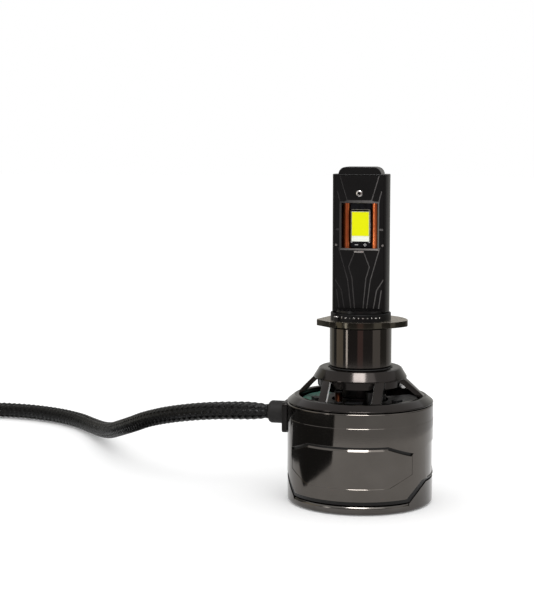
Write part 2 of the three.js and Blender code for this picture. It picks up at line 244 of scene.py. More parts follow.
def circuitBoard(name, mask, track, darkTone=None):  # solder mask with faint tracks; near-black from about -8.5 mm in X rightwards, so the green shows only at the far left
    f = Finish(name, Specular_IOR_Level=0.1)
    spot = f.node("ShaderNodeMapping", {}, {"Vector": f.place(), "Scale": (900, 900, 900)})
    cells = f.node("ShaderNodeTexVoronoi", {"distance": "MANHATTAN"}, {"Vector": spot, "Scale": 1.0})
    tracks = (cells > 0.62).clamp()
    shade = f.mixColour(tracks, mask, track)
    if darkTone:
        axes = f.node("ShaderNodeSeparateXYZ", {}, {"Vector": f.place()})
        shade = f.mixColour((axes * 900 + 8.6).clamp(), shade, darkTone)
    f.feed("Base Color", shade)
    f.feed("Roughness", tracks * -0.08 + 0.42)
    f.bump(tracks, 0.00002, 0.4)
    return f.material


def braidedYarn():  # glossy black monofilament sleeve: fine threads run along each band
    f = Finish("braidedYarn", Specular_IOR_Level=0.22)
    across = f.node("ShaderNodeSeparateXYZ", {}, {"Vector": f.node("ShaderNodeUVMap", {}, {})})
    thread = f.node("ShaderNodeMath", {"operation": "SINE"}, {0: across * (8 * math.pi)})
    wear = f.noise(900, 3)
    f.feed("Base Color", f.mixColour((wear * 1.6 - 0.4).clamp(), colour(3, 3, 4), colour(15, 15, 16)))
    f.feed("Roughness", wear * 0.2 + 0.16)
    f.bump(thread, 0.00005, 0.7)
    return f.material


shellMetal = lacquer("shellGunmetal", colour(90, 86, 82), colour(81, 77, 73), 1.0, 0.09)
ventMetal = lacquer("ventBlackNickel", colour(52, 49, 47), colour(44, 41, 40), 1.0, 0.14)
barrelMetal = lacquer("barrelBlackChrome", colour(70, 66, 63), colour(63, 59, 56), 1.0, 0.07)
postMetal = lacquer("postGlossBlack", colour(18, 17, 17), colour(23, 22, 22), 0.0, 0.24, 0.16)
ringBlack = lacquer("collarRingBlack", colour(9, 9, 9), colour(15, 14, 14), 0.0, 0.42, 0.1)
# a much lighter copy of the collar metal for the flange's upward faces: painted light on its top
flangeTopHighlight = lacquer("collarFlangeTopPaintedLight", colour(200, 192, 178), colour(176, 168, 156), 1.0, 0.26)
# dark finish for groove and rebate floors and screw sockets: painted shade
seamShade = lacquer("seamPaintedShade", colour(22, 21, 20), colour(16, 15, 15), 0.6, 0.4)
collarMetal = lacquer("collarBronzeBlack", colour(72, 69, 61), colour(56, 53, 48), 1.0, 0.17)
guardMetal = lacquer("guardBlackened", colour(92, 89, 86), colour(76, 73, 70), 1.0, 0.16)
plateMetal = lacquer("glandPlateBlack", colour(40, 38, 37), colour(30, 29, 28), 0.8, 0.3)
paintedLineHighlight = lineHighlight()
copperMetal = drawnMetal("pipeCopper", colour(226, 128, 78), colour(158, 74, 40), 0.3)
brightMetal = drawnMetal("brightSteel", colour(190, 187, 184), colour(150, 146, 143), 0.28, (1, 1, 1), 2600)
finMetal = drawnMetal("finAluminium", colour(64, 64, 65), colour(44, 44, 45), 0.4)
brassMetal = drawnMetal("brassBlade", colour(196, 164, 104), colour(150, 118, 66), 0.3, (1, 0.05, 1))
ferriteMetal = moulded("ferriteGrey", colour(36, 35, 35), colour(50, 48, 47), 0.6, 2400, 0.00004)
blackPlastic = moulded("blackMouldedPlastic", colour(20, 20, 21), colour(28, 28, 29), 0.42)
bladePlastic = moulded("fanPlastic", colour(34, 35, 36), colour(48, 49, 50), 0.3, 3800, 0.00003, 0.5)
glandRubber = moulded("glandRubber", colour(26, 25, 25), colour(42, 40, 40), 0.6, 2600, 0.00006)
chipWhite = moulded("chipCeramicWhite", colour(244, 246, 236), colour(232, 236, 224), 0.5)
blackMask = circuitBoard("blackSolderMask", colour(14, 14, 17), colour(22, 22, 27))
greenMask = circuitBoard("greenSolderMask", colour(54, 100, 84), colour(80, 130, 110))
driverMask = circuitBoard("driverSolderMask", colour(50, 94, 82), colour(74, 122, 108), colour(13, 13, 14))
# near-white painted highlight for the vent ribs' inner sides, where the light catches them
ribSideHighlight = moulded("ribSidePaintedHighlight", colour(250, 249, 247), colour(206, 204, 202), 0.35, 2600, 0.00004, 0.5)
whiteInk = moulded("whiteMarkInk", colour(206, 206, 206), colour(180, 180, 180), 0.6)
redWire = moulded("redWireCover", colour(160, 34, 30), colour(130, 26, 24), 0.45)
blackWire = moulded("blackWireCover", colour(26, 26, 26), colour(36, 36, 36), 0.45)
phosphorYellow = phosphorLayer()
windingCopper = windingWire()
braidBlack = braidedYarn()
print("finishes ready")


# Shaping tools, all in millimetres.
def cleaned(form):
    bmesh.ops.remove_doubles(form, verts=form.verts, dist=0.0005)
    bmesh.ops.recalc_face_normals(form, faces=form.faces)
    return form


def turnedForm(profile, steps=128):  # radius and height pairs; closes on itself unless it ends on the axis
    form = bmesh.new()
    points = [form.verts.new((radius, 0, height)) for radius, height in profile]
    edges = [form.edges.new(pair) for pair in zip(points, points[1:])]
    if profile[0][0] > 0:
        edges.append(form.edges.new((points[-1], points[0])))
    bmesh.ops.spin(form, geom=points + edges, cent=(0, 0, 0), axis=(0, 0, 1), angle=2 * math.pi,
                   steps=steps, use_merge=True)
    return cleaned(form)


def slabForm(outline, low, high):  # a flat outline in X and Y, raised between two heights
    form = bmesh.new()
    face = form.faces.new([form.verts.new((x, y, low)) for x, y in outline])
    grown = bmesh.ops.extrude_face_region(form, geom=[face])["geom"]
    bmesh.ops.translate(form, vec=(0, 0, high - low),
                        verts=[part for part in grown if isinstance(part, bmesh.types.BMVert)])
    return cleaned(form)


def turnForm(form, degrees, axis="Z"):
    bmesh.ops.rotate(form, cent=(0, 0, 0), matrix=Matrix.Rotation(math.radians(degrees), 3, axis),
                     verts=form.verts)
    return form


def moveForm(form, x, y, z):
    bmesh.ops.translate(form, vec=(x, y, z), verts=form.verts)
    return form


def standingForm(outline, front, back):  # an outline in X and Z, carried along Y
    return turnForm(slabForm(outline, -back, -front), 90, "X")


def boxForm(left, right, front, back, low, high):
    return slabForm([(left, front), (right, front), (right, back), (left, back)], low, high)


def arc(radius, start, end, steps):  # points on a circle, angles in degrees from +X
    turns = [math.radians(start + (end - start) * i / steps) for i in range(steps + 1)]
    return [(radius * math.cos(turn), radius * math.sin(turn)) for turn in turns]


def mirrored(points):  # the outline's other half, in going-round order
    return points + [(-x, z) for x, z in reversed(points)]


def asObject(form):
    mesh = bpy.data.meshes.new("tool")
    form.to_mesh(mesh)
    form.free()
    made = bpy.data.objects.new("tool", mesh)
    scene.collection.objects.link(made)
    return made


def gathered(forms):  # several closed forms as one, left as separate shells
    whole = bmesh.new()
    for form in forms:
        mesh = bpy.data.meshes.new("part")
        form.to_mesh(mesh)
        form.free()
        whole.from_mesh(mesh)
        bpy.data.meshes.remove(mesh)
    return whole


def combined(form, tools, operation="DIFFERENCE"):
    base = asObject(form)
    helpers = [asObject(tool) for tool in tools]
    for helper in helpers:
        step = base.modifiers.new("combine", "BOOLEAN")
        step.operation = operation
        step.solver = "EXACT"
        step.object = helper
    result = bmesh.new()
    result.from_object(base, bpy.context.evaluated_depsgraph_get())
    for used in [base, *helpers]:
        mesh = used.data
        bpy.data.objects.remove(used)
        bpy.data.meshes.remove(mesh)
    bmesh.ops.dissolve_limit(result, angle_limit=math.radians(0.4), verts=result.verts, edges=result.edges)
    return cleaned(result)


def softened(form, width, segments=2, sharper=26, within=None):  # rounds the edges sharper than an angle
    edges = [edge for edge in form.edges if edge.is_manifold
             and edge.calc_face_angle() > math.radians(sharper)
             and (within is None or within(edge))]
    bmesh.ops.bevel(form, geom=edges, offset=width, offset_type="OFFSET", segments=segments, profile=0.5,
                    affect="EDGES", clamp_overlap=False, material=-1)
    return form


def painted(form, index, chosen):  # gives the faces that a rule picks another of the piece's finishes
    for face in form.faces:
        if chosen(face.calc_center_median(), face.normal):
            face.material_index = index
    return form


def everywhere(middle, normal):
    return True


def addPiece(name, form, finishes, body, covers=(), smooth=32):
    bmesh.ops.scale(form, vec=(millimetre, millimetre, millimetre), verts=form.verts)
    mesh = bpy.data.meshes.new(name)
    form.to_mesh(mesh)
    form.free()
    for finish in finishes:
        mesh.materials.append(finish)
    mesh.shade_smooth()
    mesh.set_sharp_from_angle(angle=math.radians(smooth))
    piece = bpy.data.objects.new(name, mesh)
    even = piece.modifiers.new("even", "WEIGHTED_NORMAL")  # flat walls stay flat beside their rounded edges
    even.keep_sharp = True
    scene.collection.objects.link(piece)
    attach(piece, body)
    if covers:
        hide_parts(*covers)
    return piece


# Lead: a braided sleeve from the gland to the plug, along the same route as its CAD solid.
lead = {"radius": 2.13, "neckRadius": 1.6, "neckLength": 6.0, "carriers": 12, "turnLength": 21.6,
        "bandWidth": 0.62, "bandThickness": 0.26, "weave": 0.23, "stepsPerCell": 2, "core": 0.86}
leadRoute = [
    (-24.1, 0, 21.4), (-32.6, 0.1, 21.2), (-42.1, 1.5, 20.3), (-52, 5.7, 18.3), (-61, 12.6, 15.4),
    (-68.8, 21.3, 11.9), (-75.8, 31.1, 8.7), (-82.3, 41, 5.8), (-88.9, 51, 3.8), (-95.9, 60.8, 2.7),
    (-104.3, 69.9, 2.4), (-114.7, 76.5, 2.4), (-126.7, 80.3, 2.4), (-138.9, 80.5, 2.4),
    (-150.5, 77.2, 2.4), (-160.2, 69.7, 2.4), (-165.4, 59.5, 2.4), (-165.3, 48.4, 2.7),
    (-161.2, 38, 3.5), (-156.4, 28.8, 4)]


def smoothRoute(points, spacing):  # evenly spaced places on a smooth curve through the points
    ends = [Vector(points[0]) * 2 - Vector(points[1]), Vector(points[-1]) * 2 - Vector(points[-2])]
    knots = [ends[0], *(Vector(point) for point in points), ends[1]]
    fine = []
    for before, start, end, after in zip(knots, knots[1:], knots[2:], knots[3:]):
        for step in range(24):
            t = step / 24
            linear = (end - before) * t
            square = (2 * before - 5 * start + 4 * end - after) * t * t
            cube = (3 * start - before - 3 * end + after) * t ** 3
            fine.append(0.5 * (2 * start + linear + square + cube))
    fine.append(knots[-2])
    walked = [0.0]
    for a, b in zip(fine, fine[1:]):
        walked.append(walked[-1] + (b - a).length)
    count = round(walked[-1] / spacing)
    places = []
    index = 0
    for step in range(count + 1):
        goal = walked[-1] * step / count
        while index < len(fine) - 2 and walked[index + 1] < goal:
            index += 1
        share = (goal - walked[index]) / (walked[index + 1] - walked[index])
        places.append(fine[index].lerp(fine[index + 1], share))
    return places, walked[-1]


def carriedFrames(places):  # a side and an up direction at each place, carried along without twist
    frames = []
    side = Vector((0, 1, 0))
    for index, place in enumerate(places):
        ahead = (places[min(index + 1, len(places) - 1)] - places[max(index - 1, 0)]).normalized()
        side = (side - ahead * side.dot(ahead)).normalized()
        frames.append((place, side, ahead.cross(side)))
    return frames


def ringOnRoute(form, frame, corners):
    place, side, up = frame
    return [form.verts.new(place + (side * math.cos(turn) + up * math.sin(turn)) * radius)
            for turn, radius in corners]


def loftRings(form, rings, uvLayer=None):
    for row, (ring, following) in enumerate(zip(rings, rings[1:])):
        for place in range(len(ring)):
            after = (place + 1) % len(ring)
            face = form.faces.new((ring[place], ring[after], following[after], following[place]))
            if uvLayer:
                across = [place, place + 1, place + 1, place]
                for corner, loop in enumerate(face.loops):
                    loop[uvLayer].uv = (across[corner] / len(ring) * 2, (row + (corner > 1)) * 0.1)
    form.faces.new(list(reversed(rings[0])))
    form.faces.new(rings[-1])


def braidedLead(d):
    cell = d["turnLength"] / d["carriers"]
    places, length = smoothRoute(leadRoute, cell / d["stepsPerCell"])
    frames = carriedFrames(places)
    step = length / (len(places) - 1)

    def sleeveRadius(index):  # narrow where the gland grips it
        grow = min(1.0, index * step / d["neckLength"])
        return d["neckRadius"] + (d["radius"] - d["neckRadius"]) * math.sin(grow * math.pi / 2)

    form = bmesh.new()
    uvLayer = form.loops.layers.uv.new("alongBand")
    sides = 16
    core = [ringOnRoute(form, frame,
                        [(2 * math.pi * i / sides, sleeveRadius(row) * d["core"]) for i in range(sides)])
            for row, frame in enumerate(frames)]
    loftRings(form, core)
    for direction in (1, -1):
        for carrier in range(d["carriers"]):
            rings = []
            for row, frame in enumerate(frames):
                base = sleeveRadius(row)
                turn = 2 * math.pi * (carrier / d["carriers"] + direction * row * step / d["turnLength"])
                # each band passes over two of the others and under the next two
                phase = math.pi * (row * step / cell + direction * 0.5 + carrier)
                lift = direction * d["weave"] * math.sin(phase)
                half = d["bandWidth"] / base
                corners = [(turn - half, base + lift - 0.06), (turn - half * 0.5, base + lift + 0.07),
                           (turn + half * 0.5, base + lift + 0.07), (turn + half, base + lift - 0.06),
                           (turn, base + lift - d["bandThickness"])]
                rings.append(ringOnRoute(form, frame, corners))
            loftRings(form, rings, uvLayer)
    bmesh.ops.recalc_face_normals(form, faces=form.faces)
    return form, places, length


leadForm, leadPlaces, leadLength = braidedLead(lead)
leadPiece = addPiece("braidedLead", leadForm, [braidBlack], "lamp", ["cord_run"], 50)
leadLength * millimetre
[place * millimetre for place in leadPlaces]
print("lead ready,", round(leadLength), "mm long")


# End guard: rim, grooved bar with flared ends, ears that rise at the sides.
guardHigh = cadSize("end_guard")[1]
guard = {"rim": 2.1, "opening": 16.8, "barHalf": 1.85, "flareHalf": 3.4, "flareFrom": 13.2,
         "barHeight": 2.2, "grooveHalf": 0.3, "grooveAt": 1.0, "grooveDepth": 0.55, "earFoot": 14.6,
         "earHead": 17.75, "earTop": 6.5}


def endGuardForm(d):
    outer = guardHigh.x
    inner = d["opening"]
    rim = turnedForm([(inner, 0.55), (inner + 0.35, 0.2), (inner + 0.35, 0.0), (outer - 0.75, 0.0),
                      (outer - 0.3, 0.12), (outer - 0.05, 0.45), (outer, 0.8), (outer, d["rim"] - 0.5),
                      (outer - 0.33, d["rim"] - 0.03), (outer - 0.5, d["rim"]), (inner, d["rim"])], 192)
    ears = turnedForm([(outer - 1.0, 1.0), (outer, 1.0), (outer, d["earTop"]), (outer - 1.0, d["earTop"])],
                      192)
    between = standingForm(mirrored([(17.95, 7.5), (d["earHead"], d["earTop"]), (d["earFoot"], d["rim"]),
                                      (d["earFoot"], 0.5)]), -20, 20)
    edge = [(-17.2, -d["flareHalf"]), (-16.2, -2.9), (-15, -2.2), (-d["flareFrom"], -d["barHalf"]),
            (d["flareFrom"], -d["barHalf"]), (15, -2.2), (16.2, -2.9), (17.2, -d["flareHalf"])]
    bar = slabForm(edge + [(-x, -y) for x, y in edge], 0, d["barHeight"])
    tongues = combined(turnedForm([(16.2, 1), (17.9, 1), (17.9, 2.6), (17, 2.6), (17, 8), (16.2, 8)], 96),
                       [boxForm(-20, 20, -3.2, 3.2, 0.5, 9)], "INTERSECT")
    whole = combined(rim, [combined(ears, [between]), bar, tongues], "UNION")
    grooves = [boxForm(-15.6, 15.6, y - d["grooveHalf"], y + d["grooveHalf"], -1, d["grooveDepth"])
               for y in (-d["grooveAt"], d["grooveAt"])]
    return softened(combined(whole, grooves), 0.1, 2, 30)


addPiece("endGuard", endGuardForm(guard), [guardMetal], "lamp", ["end_guard"])


# Outer shell: sunk upper band, sunk panel front and rear, dished sides, room for the guard's ears.
shellLow, shellHigh = cadSize("outer_shell")
gland = {"height": 21.4, "radius": 2.9, "corner": 1.0, "mouth": 1.65}
shell = {"wall": 1.2, "bandSunk": 0.06, "bandEdge": 21.34, "panelSunk": 0.06, "panelTop": (10.1, 16.7),
         "panelSide": (15.2, 14.5, 9.3), "panelFoot": (10.3, 6.4), "grooveDepth": 0.36, "rebate": 0.3,
         "rebateTop": 3.3, "dish": 0.25, "ledge": 1.4, "cableHole": 2.2}


def outerShellForm(d):
    outer, ledge = shellHigh.x, d["ledge"]  # the ledges that face up slope back by one in ledge
    low, high = shellLow.z, shellHigh.z
    band = outer - d["bandSunk"]
    walls = turnedForm([(outer - d["wall"], low), (outer, low), (outer, d["bandEdge"]),
                        (band, d["bandEdge"] + d["bandSunk"] * ledge), (band, high - 0.25),
                        (band - 0.2, high), (outer - d["wall"], high)], 240)

    def skin(depth, outline, foot=-1.0, turn=0):  # the wall's outermost layer where the outline crosses it
        inner, reach = outer - depth, depth + 2
        layer = turnedForm([(inner, foot + depth * ledge), (outer + 2, foot + (depth - reach) * ledge),
                            (outer + 2, high + 1), (inner, high + 1)], 240)
        return combined(layer, [turnForm(standingForm(outline, -22, 22), turn)], "INTERSECT")

    foot, (topX, topZ) = d["panelFoot"], d["panelTop"]
    panelSide, panelHigh, panelLow = d["panelSide"]
    panelArea = mirrored([(foot[0] - 0.9, foot[1] - 0.5), (panelSide, panelLow), (panelSide, panelHigh),
                          (topX, topZ)])
    grooveArea = mirrored([(topX - 0.4, topZ - 1.2), (topX - 0.2, topZ - 0.6),
                           (panelSide - 0.2, panelHigh - 0.65), (panelSide + 0.2, panelHigh),
                           (topX, topZ + 0.1)])
    rebateArea = mirrored([(14.1, d["rebateTop"]), (17.1, 7.3), (22, 7.3), (22, 0)])
    dishArea = mirrored([(4.2, 7.4), (5.6, 8.8), (5.6, 14.6), (4.2, 16)])
    panel = skin(d["panelSunk"], panelArea, foot[1])
    grooveMiddle = skin(d["grooveDepth"], mirrored([(topX, topZ - 2), (topX, topZ + 0.1)]), topZ - 1.0)
    grooveEnds = combined(skin(d["grooveDepth"], grooveArea),
                          [boxForm(-topX + 0.1, topX - 0.1, -25, 25, 0, 30)])
    earRoom = [(14.35, 1.8), (17.6, 6.75), (22, 6.75), (22, 1.8)]
    rooms = [standingForm(earRoom, -20, 20), standingForm([(-x, z) for x, z in reversed(earRoom)], -20, 20)]
    hole = turnForm(slabForm(arc(d["cableHole"], 0, 350, 35), 15, 20), -90, "Y")
    form = combined(walls, [panel, grooveMiddle, grooveEnds, skin(d["dish"], dishArea, turn=90),
                            skin(d["rebate"], rebateArea), *rooms, moveForm(hole, 0, 0, gland["height"])])
    softened(form, 0.07, 2, 38)

    def seam(middle, normal):  # floors of the rebate and the groove, painted dark as the shade in them
        radius = math.hypot(middle.x, middle.y)
        return (radius < outer - d["rebate"] + 0.03 and middle.z < 8) or (
            outer - 1 < radius < outer - d["grooveDepth"] + 0.04 and middle.z < 18)

    return painted(form, 1, seam)


addPiece("outerShell", outerShellForm(shell), [shellMetal, seamShade], "lamp",
         ["outer_shell"], 30)
print("casing ready")


# Vent cover: shoulder, six ribs in parallel pairs, hat with a well for the seal.
ventHigh = cadSize("vent_cone")[1]
vent = {"shoulder": 16.3, "shoulderTop": 27.0, "lip": 15.3, "hatRim": (11.75, 31.7), "hatTop": 10.2,
        "skirt": 10.8, "ribInner": 5.6, "ribWidth": 2.2}


def ventCoverForm(d):
    outer, top = ventHigh.x, ventHigh.z
    shoulder = turnedForm([(d["lip"], 24.2), (17.1, 24.2), (17.1, 25.2), (outer - 0.2, 25.2),
                           (outer, 25.35), (outer - 0.12, 25.6), (d["shoulder"] + 0.5, 26.85),
                           (d["shoulder"], d["shoulderTop"]), (d["lip"] + 0.25, d["shoulderTop"]),
                           (d["lip"], 26.8)], 192)
    rimRadius, rimHeight = d["hatRim"]
    hat = turnedForm([(6.6, 31.6), (9.8, 31.6), (9.8, 29.5), (d["skirt"], 29.5), (d["skirt"], 31.35),
                      (rimRadius - 0.1, 31.4), (rimRadius, rimHeight - 0.1),
                      (rimRadius - 0.06, rimHeight + 0.1), (d["hatTop"] + 0.25, top - 0.25),
                      (d["hatTop"] - 0.15, top), (8.35, top), (8.1, top - 0.2), (8.1, 33.4), (6.6, 33.4)],
                      160)
    slope = turnedForm([(14.7, d["shoulderTop"] - 0.25), (d["shoulder"] + 0.1, d["shoulderTop"] - 0.25),
                        (rimRadius - 0.05, rimHeight - 0.15), (10.1, rimHeight - 0.15)], 160)
    bars = []
    for turn in (0, 120, 240):
        for side in (-1, 1):
            middle, half = side * (d["ribInner"] + d["ribWidth"] / 2), d["ribWidth"] / 2
            bars.append(turnForm(boxForm(middle - half, middle + half, -18, -5, 26, 32), turn))
    ribs = combined(slope, [gathered(bars)], "INTERSECT")
    whole = softened(combined(shoulder, [hat, ribs], "UNION"), 0.14, 2, 34)

    def ribSide(middle, normal):  # the narrow sides of the ribs that face each other, painted near-white as a highlight
        for turn in (0, 120, 240):
            back = Matrix.Rotation(math.radians(-turn), 3, "Z")
            place, facing = back @ middle, back @ normal
            nearSide = place.y < -9 and abs(abs(place.x) - d["ribInner"]) < 0.16
            if nearSide and facing.x * place.x < -1.9 and 27.2 < place.z < 31.2:
                return True
        return False

    return painted(whole, 1, ribSide)


addPiece("ventCover", ventCoverForm(vent), [ventMetal, ribSideHighlight], "lamp", ["vent_cone"], 40)


# Neck: seal ring and chromed barrel.
sealLow, sealHigh = cadSize("seal_ring")
barrelLow, barrelHigh = cadSize("neck_barrel")
neck = {"bore": 6.7, "sealBore": 6.8, "chamfer": 0.22}


def neckForms(d):
    middle, half = (sealLow.z + sealHigh.z) / 2, (sealHigh.z - sealLow.z) / 2
    bead = [(sealHigh.x - half + x, middle + z) for x, z in arc(half, -90, 90, 12)]
    seal = turnedForm([(d["sealBore"], sealLow.z), *bead, (d["sealBore"], sealHigh.z)], 128)
    outer, low, high, chamfer = barrelHigh.x, barrelLow.z, barrelHigh.z, d["chamfer"]
    barrel = turnedForm([(d["bore"], low), (outer - chamfer, low), (outer - 0.07, low + 0.07),
                         (outer, low + chamfer), (outer, high - chamfer), (outer - 0.07, high - 0.07),
                         (outer - chamfer, high), (d["bore"], high)], 192)
    return seal, barrel


sealForm, barrelForm = neckForms(neck)
addPiece("sealRing", sealForm, [glandRubber], "lamp", ["seal_ring"])
addPiece("neckBarrel", barrelForm, [barrelMetal], "lamp", ["neck_barrel"], 50)
print("vent cover and neck ready")


# Mounting collar: cut-away flange with a pointed wing, studded ring, dimples and the lock screw.
collar = {"turn": 11.0, "bottom": 44.5, "top": 46.0, "ring": 7.6, "bore": 6.6, "frontRadius": 8.4,
          "backRadius": 11.85, "screwAt": (-6.0, -4.9), "dimples": ((9.0, 1.6), (10.3, 2.4), (-9.2, 1.2)),
          "studTurn": 8.5, "studWidths": (0.2, 0.4, 0.2, 0.6, 0.3, 0.5, 0.4, 0.3, 0.6, 0.2)}


def collarForms(d):
    high = cadSize("mount_collar")[1]
    front = arc(d["frontRadius"], math.degrees(math.atan2(-5.8, -6.1)),
                math.degrees(math.atan2(-6.6, 5.2)), 24)
    wing = [(6.5, -6.5), (7.6, -6.2), (8.8, -5.4), (9.8, -4.4), (10.8, -3.4)]
    back = arc(d["backRadius"], math.degrees(math.atan2(-2.2, 11.6)), math.degrees(math.atan2(9.5, -6.9)),
               48)
    flange = slabForm([(-11, 0.8), (-11.1, 0), (-11, -0.8), (-7.8, -5.5), *front, *wing, *back],
                      d["bottom"], d["top"])
    ringTop = high.z - 0.05
    ring = turnedForm([(d["bore"], d["top"] - 0.6), (d["ring"], d["top"] - 0.6),
                       (d["ring"], ringTop - 0.15), (d["ring"] - 0.15, ringTop), (d["bore"], ringTop)], 128)
    bore = slabForm(arc(d["bore"], 0, 357, 119), 40, 50)
    x, y = d["screwAt"]
    holes = [moveForm(slabForm(arc(0.76, 0, 345, 23), 44, 49), x, y, 0)]
    for spotX, spotY in d["dimples"]:
        holes.append(moveForm(slabForm(arc(0.32, 0, 330, 11), d["top"] - 0.3, 47), spotX, spotY, 0))
    notch = boxForm(-1.3, 1.3, 10.7, 13, 44, 47)
    body = combined(combined(flange, [ring], "UNION"), [bore, notch, *holes])

    def clearOfScrew(edge):  # the thin wall beside the screw hole keeps its sharp edge
        middle = (edge.verts[0].co + edge.verts[1].co) / 2
        return math.hypot(middle.x - x, middle.y - y) > 0.85

    softened(body, 0.1, 2, 30, clearOfScrew)
    # the flange's upward faces take the lighter copy: painted light
    painted(body, 3, lambda middle, normal: normal.z > 0.6 and middle.z > d["top"] - 0.1)
    painted(body, 1, lambda middle, normal: middle.z > d["top"] + 0.02
            and math.hypot(middle.x, middle.y) < d["ring"] + 0.1)
    studs = []
    for step, width in enumerate(d["studWidths"]):
        turn = (step - (len(d["studWidths"]) - 1) / 2) * d["studTurn"]
        half, face = width / 2, -d["ring"]
        stud = boxForm(-half, half, face - 0.08, face + 0.3, ringTop - 1.0, ringTop - 0.72)
        studs.append(turnForm(painted(softened(stud, 0.05, 1), 2, everywhere), turn))
    body = gathered([body, *studs])
    screw = turnedForm([(0, 45), (0.74, 45), (0.74, 47.2), (0.62, 47.38), (0, 47.38)], 40)
    socket = slabForm(arc(0.4, 0, 300, 5), 46.8, 48)
    screw = softened(combined(screw, [socket]), 0.03, 1, 40)
    # the screw's sides in the hole and its socket take the dark finish: painted shade
    painted(screw, 1, lambda middle, normal: middle.z < 47.15 or math.hypot(middle.x, middle.y) < 0.4)
    return turnForm(body, d["turn"]), turnForm(moveForm(screw, x, y, 0), d["turn"])


collarForm, collarScrewForm = collarForms(collar)
addPiece("mountCollar", collarForm, [collarMetal, ringBlack, brightMetal, flangeTopHighlight], "collar",
         ["mount_collar"], 40)
addPiece("collarScrew", collarScrewForm, [brightMetal, seamShade], "collar", ["collar_screw"])


# Lamp post: stem, blade with rails, rounded cap, light windows.
postHigh = cadSize("lamp_post")[1]
post = {"radius": 7.2, "halfDepth": 2.8, "bladeFoot": 48.12, "railTop": 82.6, "stem": 6.4,
        "windowHalf": 4.6, "windowLow": 64.1, "windowHigh": 75.4, "web": 0.4, "plateHalf": 6.2,
        "plateDepth": 0.7, "seam": 0.05, "screwHeight": 77.8}
sides = (("front", 0), ("rear", 180))
pipe = {"at": 3.72, "halfWidth": 1.05, "halfDepth": 1.2, "room": 0.02}


def lampPostForm(d):
    lean = math.degrees(math.asin(d["halfDepth"] / d["radius"]))
    section = arc(d["radius"], -lean, lean, 24) + arc(d["radius"], 180 - lean, 180 + lean, 24)
    blade = softened(slabForm(section, d["bladeFoot"], d["railTop"]), 0.22, 3, 40)
    capHalf = [(5.45, d["railTop"] - 0.4), (5.4, 82.9), (5.15, 83.5), (4.75, 83.95), (4.2, 84.25),
               (3.5, postHigh.z)]
    cap = softened(standingForm(mirrored(capHalf), -2.7, 2.7), 0.25, 3, 40)
    stem = turnedForm([(0, 27), (d["stem"], 27), (d["stem"], d["bladeFoot"] + 0.5),
                       (0, d["bladeFoot"] + 0.5)], 128)
    reach, depth = pipe["halfWidth"] + pipe["room"], pipe["halfDepth"] + pipe["room"]
    channels = [boxForm(x - reach, x + reach, -depth, depth, 26, 79) for x in (-pipe["at"], pipe["at"])]
    opening = []
    for side in (-1, 1):
        front, back = sorted((side * d["web"], side * 4))
        opening.append(boxForm(-d["windowHalf"], d["windowHalf"], front, back, d["windowLow"],
                               d["windowHigh"]))
        front, back = sorted((side * (d["halfDepth"] - d["plateDepth"]), side * 4))
        opening.append(boxForm(-d["plateHalf"], d["plateHalf"], front, back, 49, 82.3))
    hole = standingForm([(x, z + d["screwHeight"]) for x, z in arc(0.6, 0, 345, 23)], -4, 4)
    return combined(combined(blade, [cap, stem], "UNION"), [*channels, *opening, hole])


addPiece("lampPost", lampPostForm(post), [postMetal], "lamp", ["lamp_post"], 30)


# Face plates: engraved lines, bevelled light window, side slots and studs.
plate = {"top": 82.25, "foot": 49.1, "lineWidth": 0.26, "lineDepth": 0.16, "frame": 0.42,
         "frameDepth": 0.34, "bandHeight": 0.75, "slotHeight": (68.6, 69.1), "stud": 0.3,
         "studsAt": (-5.85, 5.9), "studHeight": 64.9}
engravedLines = [  # each is cut on both sides of the middle, as X out from it and height
    ((1.13, 63.3), (2.64, 59.5), (1.78, 56.7), (1.06, 48.9)),
    ((5.23, 64.3), (2.89, 56.2), (2.49, 53.0), (1.95, 48.6)),
    ((6.4, 56.7), (4.5, 53.7), (3.69, 48.9)),
    ((5.7, 53.7), (4.95, 48.6)),
    ((4.97, 82.3), (3.14, 76.2)),
    ((5.58, 78.3), (5.03, 76.3), (4.95, 75.6))]


def groove(start, end, width, depth, face):  # a straight cut from one point to the next, with a sharp floor
    along = Vector((end[0] - start[0], end[1] - start[1]))
    side = Vector((-along.y, along.x)).normalized() * width / 2
    stretch = along.normalized() * width * 0.4
    a, b = Vector(start) - stretch, Vector(end) + stretch
    return standingForm([tuple(a + side), tuple(a - side), tuple(b - side), tuple(b + side)], face - 1,
                        face + depth)


